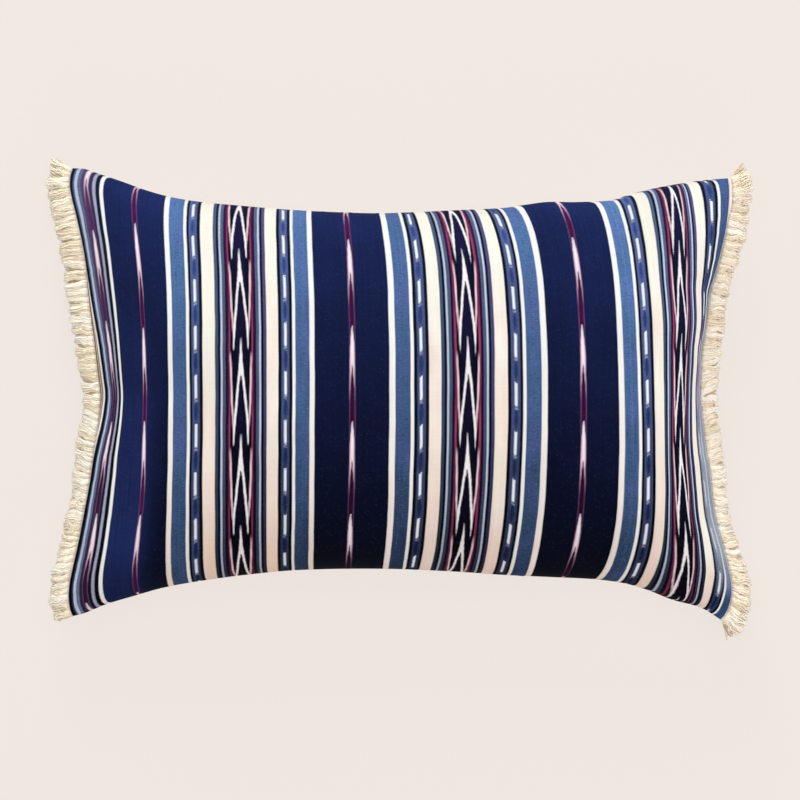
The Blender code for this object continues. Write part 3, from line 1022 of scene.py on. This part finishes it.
def dashes(colour, from_middle, place, y):
    """White dashes up the narrow blue strips, with a darker lens in each gap."""
    below = below_tip(y, by_stretch(place, DASH_TIPS), DASH_PERIOD)
    off = from_middle.distance(STRIP_MIDDLE)
    in_gap = below.above(22.5, 4.0) * below.below(40.5, 4.0) * (off < 3.4)
    colour = mix(in_gap * 0.8, colour, GAP_BLUE)
    swell = ((below - 22.0) * (math.pi / 19)).math("SINE")
    colour = mix(off.below(swell * 1.8, 1.4) * in_gap * 0.85, colour, LENS_BLUE)
    colour = mix(off.below(1.15, 0.5) * below.below(20.4, 1.6), colour, DASH_WHITE)
    dot = off.below(1.4) * below.above(21.8, 0.6) * below.below(23.4, 0.6)
    return mix(dot * 0.3, colour, DASH_WHITE)


def striped_cloth():
    """Warp-faced handwoven cotton in indigo, blues, white and wine red, with ikat dashes."""
    look = Look("striped_cloth")
    x, y = look.map("cloth", 1 / MM)
    x = x + (noise(x * 0.03, y * 0.022, detail=3.0) - 0.5) * 1.4
    thread, place, row, height = plain_weave(x, y)
    thread_chance = chance(thread)
    slip = noise(place * 0.9, y * 0.012, detail=1.0)
    shifted = y + (thread_chance - 0.5) * 2.2 + slip * 3.0
    from_group = place.distance(*GROUP_CENTRES)
    colour = from_group.stripes(GROUP_STRIPES, 70.0)
    colour = purple_slates(colour, from_group, place)
    colour = chevrons(colour, from_group, place, shifted)
    colour = dashes(colour, from_group, place, shifted)
    raised = shifted - place.below(100) * y.above(125, 60) * 14
    colour = lenses(colour, place.distance(*LENS_CENTRES), raised, LENS_TIP, LENS_DARK)
    small = place.stripes(SMALL_STRIPES, 40.0)
    lowered = shifted + y.below(20, 60) * 8
    small = lenses(small, place.distance(SMALL_LENS), lowered, SMALL_LENS_TIP, SMALL_LENS_DARK)
    colour = mix(place < SMALL_GROUP_EDGE, colour, small)
    colour = tints_and_painted_warmth(colour, x, y, place)
    colour = worn_dye_and_painted_light(colour, x, y, thread, row, thread_chance)
    look.bump(height, 0.00022, 0.55)
    return look.finish(colour, 0.9, 0.0, 0.04)


def tints_and_painted_warmth(colour, x, y, place):
    """Whites drift between peach and a greenish white, and carry painted warm shade that turns them
    and the thin white borders warmer and pinker towards the bottom; denims drift between blue and
    violet, and the cloth is faded beside the lower part of the right seam."""
    red, _ = colour.red_and_blue()
    in_group = place.distance(*GROUP_CENTRES)
    pale = red.above(0.7, 0.1) * in_group.between(14.0, 35.0)
    patch = noise(x * 0.035, y * 0.011, 4.0)
    # random peach patches, more of them towards the bottom as painted warm shade
    warm = (patch + y.ramp(-1 / 200, 0.25) * 0.14).above(0.6, 0.16)
    colour = mix(pale * warm * 0.75, colour, PEACH_WHITE)
    colour = mix(pale * patch.below(0.44, 0.16) * 0.6, colour, GREEN_WHITE)
    # painted warm shade: whites and thin white borders turn a warm white or pink towards the
    # bottom, more in some stretches than in others
    painted_warm_shade = y.ramp(-0.0042, 0.18) * by_stretch(place, (1.05, 1.05, 0.8, 0.8, 0.75, 0.15))
    rosy = (noise(x * 0.05, y * 0.016, 14.0) + place * 0.0003).above(0.61, 0.12)
    border = in_group.between(61.1, 65.8) * 0.6
    colour = mix(painted_warm_shade * (pale + border), colour, mix(rosy, PAINTED_WARM_WHITE, PAINTED_WARM_PINK))
    denim = in_group.between(48.2, 61.1) * (place > SMALL_GROUP_EDGE)
    violet = noise(x * 0.05, y * 0.03, 9.0, 3.0).above(0.55, 0.3)
    colour = mix(denim * violet, colour, VIOLET_DENIM)
    faded = place.above(587, 6) * y.below(50, 40) * y.above(-165, 40)
    return mix(faded * 0.62, colour, mix(y.above(-30, 40), FADED, FADED_VIOLET))


def worn_dye_and_painted_light(colour, x, y, thread, row, thread_chance):
    """Uneven dye: threads a little different, faint crosswise streaks, broad patches and flecks.
    Dark colours carry painted light and shade, brighter towards the top of the pillow and darker
    towards the bottom, but for the first dark band, which turns brighter towards the bottom. Blues
    are deeper in the upper right corner."""
    red, blue = colour.red_and_blue()
    pale = red.above(0.5, 0.4)
    not_pale = 1 - pale
    streak = noise(x * 0.45, y * 0.02)
    weft = noise(x * 0.05, y * 1.1, 2.0)
    patch = noise(x * 0.018, y * 0.018, detail=3.0)
    tone = streak * 0.34 + weft * 0.42 + patch * 0.6 + thread_chance * 0.18
    shade = (tone - 0.77) * (1 - pale * 0.72) + 1.0
    first_band = (x > SMALL_GROUP_EDGE) * x.below(76, 30)
    # painted light and shade: dark colours brighter towards the top and darker towards the bottom;
    # the first dark band turns brighter towards the bottom
    lighter = y * 0.0055 - 0.105 + first_band * y.ramp(-0.0044, 0.4) * 1.8
    shade = shade * (red.ramp(-1 / 0.12, 1.0) * lighter).math("EXPONENT") * CLOTH_BRIGHTNESS
    corner = x.above(585, 16) * y.above(75, 70)
    kept = by_stretch(x, (0.1, 1.0, 0.6, 1.0, 0.45, 1.0), (125, 403, 420, 486, 505))
    # painted shade: colours that are not pale grow darker towards the bottom, by a share that
    # differs by stretch
    lower = y.ramp(-0.0027, -0.045) * x.below(585, 16) * kept
    shade = shade * (1 - corner * not_pale * 0.45) * (1 - lower * not_pale)
    blue = not_pale * blue.ramp(5.0, -0.3)
    broken = noise(x * 0.3, y * 1.3, 6.0).above(0.58, 0.14)
    brighter = blue * by_stretch(x, (0.09, 0.10, -0.04, 0.04, 0.20, 0.20)) + 1.0
    shade = shade * (1 - broken * blue * 0.36) * brighter
    darker = colour.node("VectorMath")
    darker.operation = "SCALE"
    feed(darker.inputs[0], colour)
    feed(darker.inputs["Scale"], shade)
    fleck = chance(thread, row, 3.0).above(0.965, 0.03) * (blue * 0.45 + 0.14)
    return mix(fleck, Value(darker.outputs[0]), FLECK_BLUE, "ADD")


def plain_cloth():
    """Undyed cotton of the back panel."""
    look = Look("plain_cloth")
    x, y = look.map("cloth", 1 / MM)
    thread, _, row, height = plain_weave(x, y)
    slub = noise(x * 0.05, y * 1.1)
    patch = noise(x * 0.012, y * 0.012, detail=3.0)
    tone = chance(thread, row) * 0.3 + slub * 0.5 + patch * 0.5
    look.bump(height, 0.00025, 0.6)
    return look.finish(mix(tone, "d6c8ae", "f3ead6"), 0.92, 0.15)


def cream_yarn():
    """Undyed cotton yarn of the fringe, with painted shade that makes it darker and browner at its
    roots.
    """
    look = Look("cream_yarn")
    along, tint = look.map("yarn")
    warm = tint > 1.5
    tint = tint - warm * 2.0
    # low tints are tan: some clumps darker at random, and the lower layer as painted shade in the
    # cracks
    colour = mix(tint.above(0.3, 0.6), "d8c49c", "fdf3dc")
    colour = mix(tint.above(0.8, 0.4), colour, "fffaf0")
    colour = mix(warm * 0.5, colour, "d9ad92")
    # painted shade at the roots, beside the seam
    colour = mix(along.below(0.05, 0.12) * 0.25, colour, "c9ad8c")
    # the heading: a painted brown shadow line on the left (tint 0), pinkish white on the right
    # (tint 1)
    colour = mix(along < -0.5, colour, mix(tint, HEADING_PAINTED_SHADOW, HEADING_PINK))
    look.bump((along * 150 + tint * 40).math("SINE"), 0.00008, 0.5)
    return look.finish(colour, 0.95, 0.2)


def floor_material():
    """A pale matt floor that keeps only a faint shadow."""
    look = Look("pale_floor")
    look.inputs["Emission Color"].default_value = linear(BACKGROUND)
    look.inputs["Emission Strength"].default_value = 0.88
    return look.finish((0.088, 0.081, 0.077, 1.0), 1.0, 0.0, 0.0)


def add_floor():
    half = FLOOR_SIZE / 2
    mesh = bpy.data.meshes.new("floor")
    corners = ((-half, -half, 0), (half, -half, 0), (half, half, 0), (-half, half, 0))
    mesh.from_pydata(corners, [], [(0, 1, 2, 3)])
    mesh.materials.append(floor_material())
    floor = bpy.data.objects.new("floor", mesh)
    floor.location.z = -0.0005
    bpy.context.scene.collection.objects.link(floor)


def add_area_light(name, place, aim, size, power, colour):
    light = bpy.data.lights.new(name, "AREA")
    light.shape = "DISK"
    light.size = size
    light.energy = power
    light.color = colour
    lamp = bpy.data.objects.new(name, light)
    lamp.location = place
    direction = Vector(aim) - Vector(place)
    lamp.rotation_euler = direction.to_track_quat("-Z", "Y").to_euler()
    bpy.context.scene.collection.objects.link(lamp)


def add_lights():
    """Soft light from above and from the photo's upper side, a weak warm fill from below it, and
    low cool light on both short sides."""
    world = bpy.data.worlds.new("studio")
    world.use_nodes = True
    background = world.node_tree.nodes["Background"]
    background.inputs["Color"].default_value = (1.0, 0.97, 0.94, 1.0)
    background.inputs["Strength"].default_value = 0.31
    bpy.context.scene.world = world
    add_area_light("overhead", (0.1, 0.5, 2.6), (0, 0, 0), 1.6, 30, (1.0, 0.99, 0.97))
    add_area_light("upper_side", (-0.4, 2.2, 1.5), (0, 0, 0.08), 1.2, 40, (0.99, 1.0, 0.97))
    add_area_light("lower_fill", (0.3, -2.2, 1.2), (0, 0, 0.08), 1.6, 17, (1.0, 0.78, 0.72))
    add_area_light("left_side", (-2.3, 0, 0.5), (-0.2, 0, 0.1), 1.2, 14, (0.94, 0.97, 1.0))
    add_area_light("right_side", (2.3, 0, 0.5), (0.2, 0, 0.1), 1.2, 25, (0.96, 0.97, 1.0))


def add_camera():
    camera_data = bpy.data.cameras.new("camera")
    camera_data.sensor_fit = "HORIZONTAL"
    camera_data.angle = 2 * math.atan(IMAGE_WIDTH * MM / 2 / CAMERA_DISTANCE)
    camera = bpy.data.objects.new("camera", camera_data)
    above_seam = SEAM_HEIGHT + CAMERA_DISTANCE / MM
    camera.location = (np.array((*IMAGE_MIDDLE, above_seam)) + table_shift()) * MM
    bpy.context.scene.collection.objects.link(camera)
    bpy.context.scene.camera = camera


add_camera()
add_pillow()
yarn = cream_yarn()
left_tables = (LEFT_REACH, LEFT_LEAN, LEFT_HEADING, LEFT_WARM)
right_tables = (RIGHT_REACH, RIGHT_LEAN, RIGHT_HEADING, RIGHT_WARM)
# tint 0.0 paints the left heading as a brown shadow line
add_fringe("left_brush_fringe", "fringe_left", LEFT_SEAM, -1, left_tables, 0.0, 11, yarn)
add_fringe("right_brush_fringe", "fringe_right", RIGHT_SEAM, 1, right_tables, 1.0, 23, yarn)
add_floor()
add_lights()
bpy.context.scene.view_settings.view_transform = "Standard"
